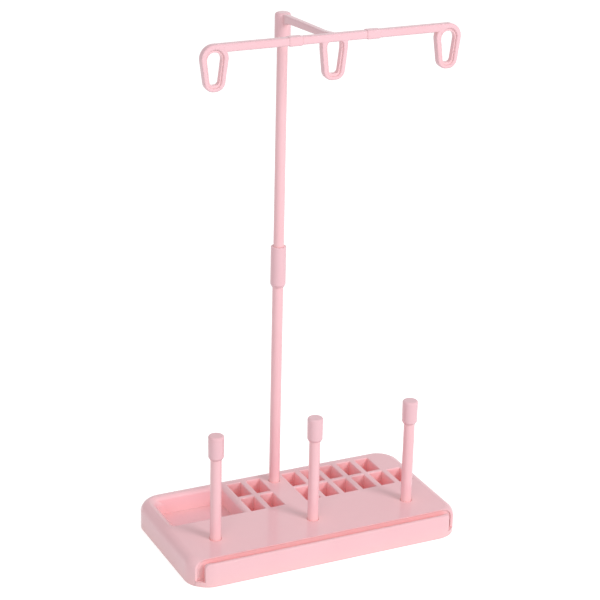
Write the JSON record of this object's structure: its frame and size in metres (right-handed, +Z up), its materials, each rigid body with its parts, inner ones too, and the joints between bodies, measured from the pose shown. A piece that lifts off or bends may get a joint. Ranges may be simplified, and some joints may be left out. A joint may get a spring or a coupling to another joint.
{
  "type": "thread rack",
  "caption": "Sewing thread rack: low base with bobbin pockets, open tray and pull-out drawer, capped spool pins, and a jointed post with a swivelling guide that has thread eyes.",
  "frame": {"origin": "centre of the base's underside, on the table", "axes": "+X to the right as seen from the drawer's front, +Y to the rear, +Z up along the post"},
  "size_m": [0.25, 0.137, 0.4481],
  "materials": {
    "pink_plastic": "smooth moulded plastic with a soft gloss",
    "screw_steel": "plain zinc-plated steel"
  },
  "bodies": {
    "base": {"base_cover": "pink_plastic", "base_plate": "pink_plastic", "base_screws": "screw_steel", "lower_post": "pink_plastic", "post_coupler": "pink_plastic", "upper_post": "pink_plastic", "spool_pin_left": "pink_plastic", "spool_pin_center": "pink_plastic", "spool_pin_right": "pink_plastic"},
    "drawer": {"drawer": "pink_plastic"},
    "thread_guide": {"guide_center": "pink_plastic", "guide_arm_left": "pink_plastic", "guide_arm_right": "pink_plastic"},
    "left_cap": {"pin_cap_left": "pink_plastic"},
    "center_cap": {"pin_cap_center": "pink_plastic"},
    "right_cap": {"pin_cap_right": "pink_plastic"}
  },
  "joints": [
    {"name": "drawer_slide", "type": "slide", "parent": "base", "child": "drawer", "axis": [0, -1, 0], "range_m": [0, 0.054]},
    {"name": "guide_swivel", "type": "hinge", "parent": "base", "child": "thread_guide", "pos_m": [0, 0.048, 0.43], "axis": [0, 0, 1], "continuous": true},
    {"name": "left_cap_lift", "type": "slide", "parent": "base", "child": "left_cap", "axis": [0, 0, 1], "range_m": [0, 0.019]},
    {"name": "center_cap_lift", "type": "slide", "parent": "base", "child": "center_cap", "axis": [0, 0, 1], "range_m": [0, 0.019]},
    {"name": "right_cap_lift", "type": "slide", "parent": "base", "child": "right_cap", "axis": [0, 0, 1], "range_m": [0, 0.019]}
  ]
}
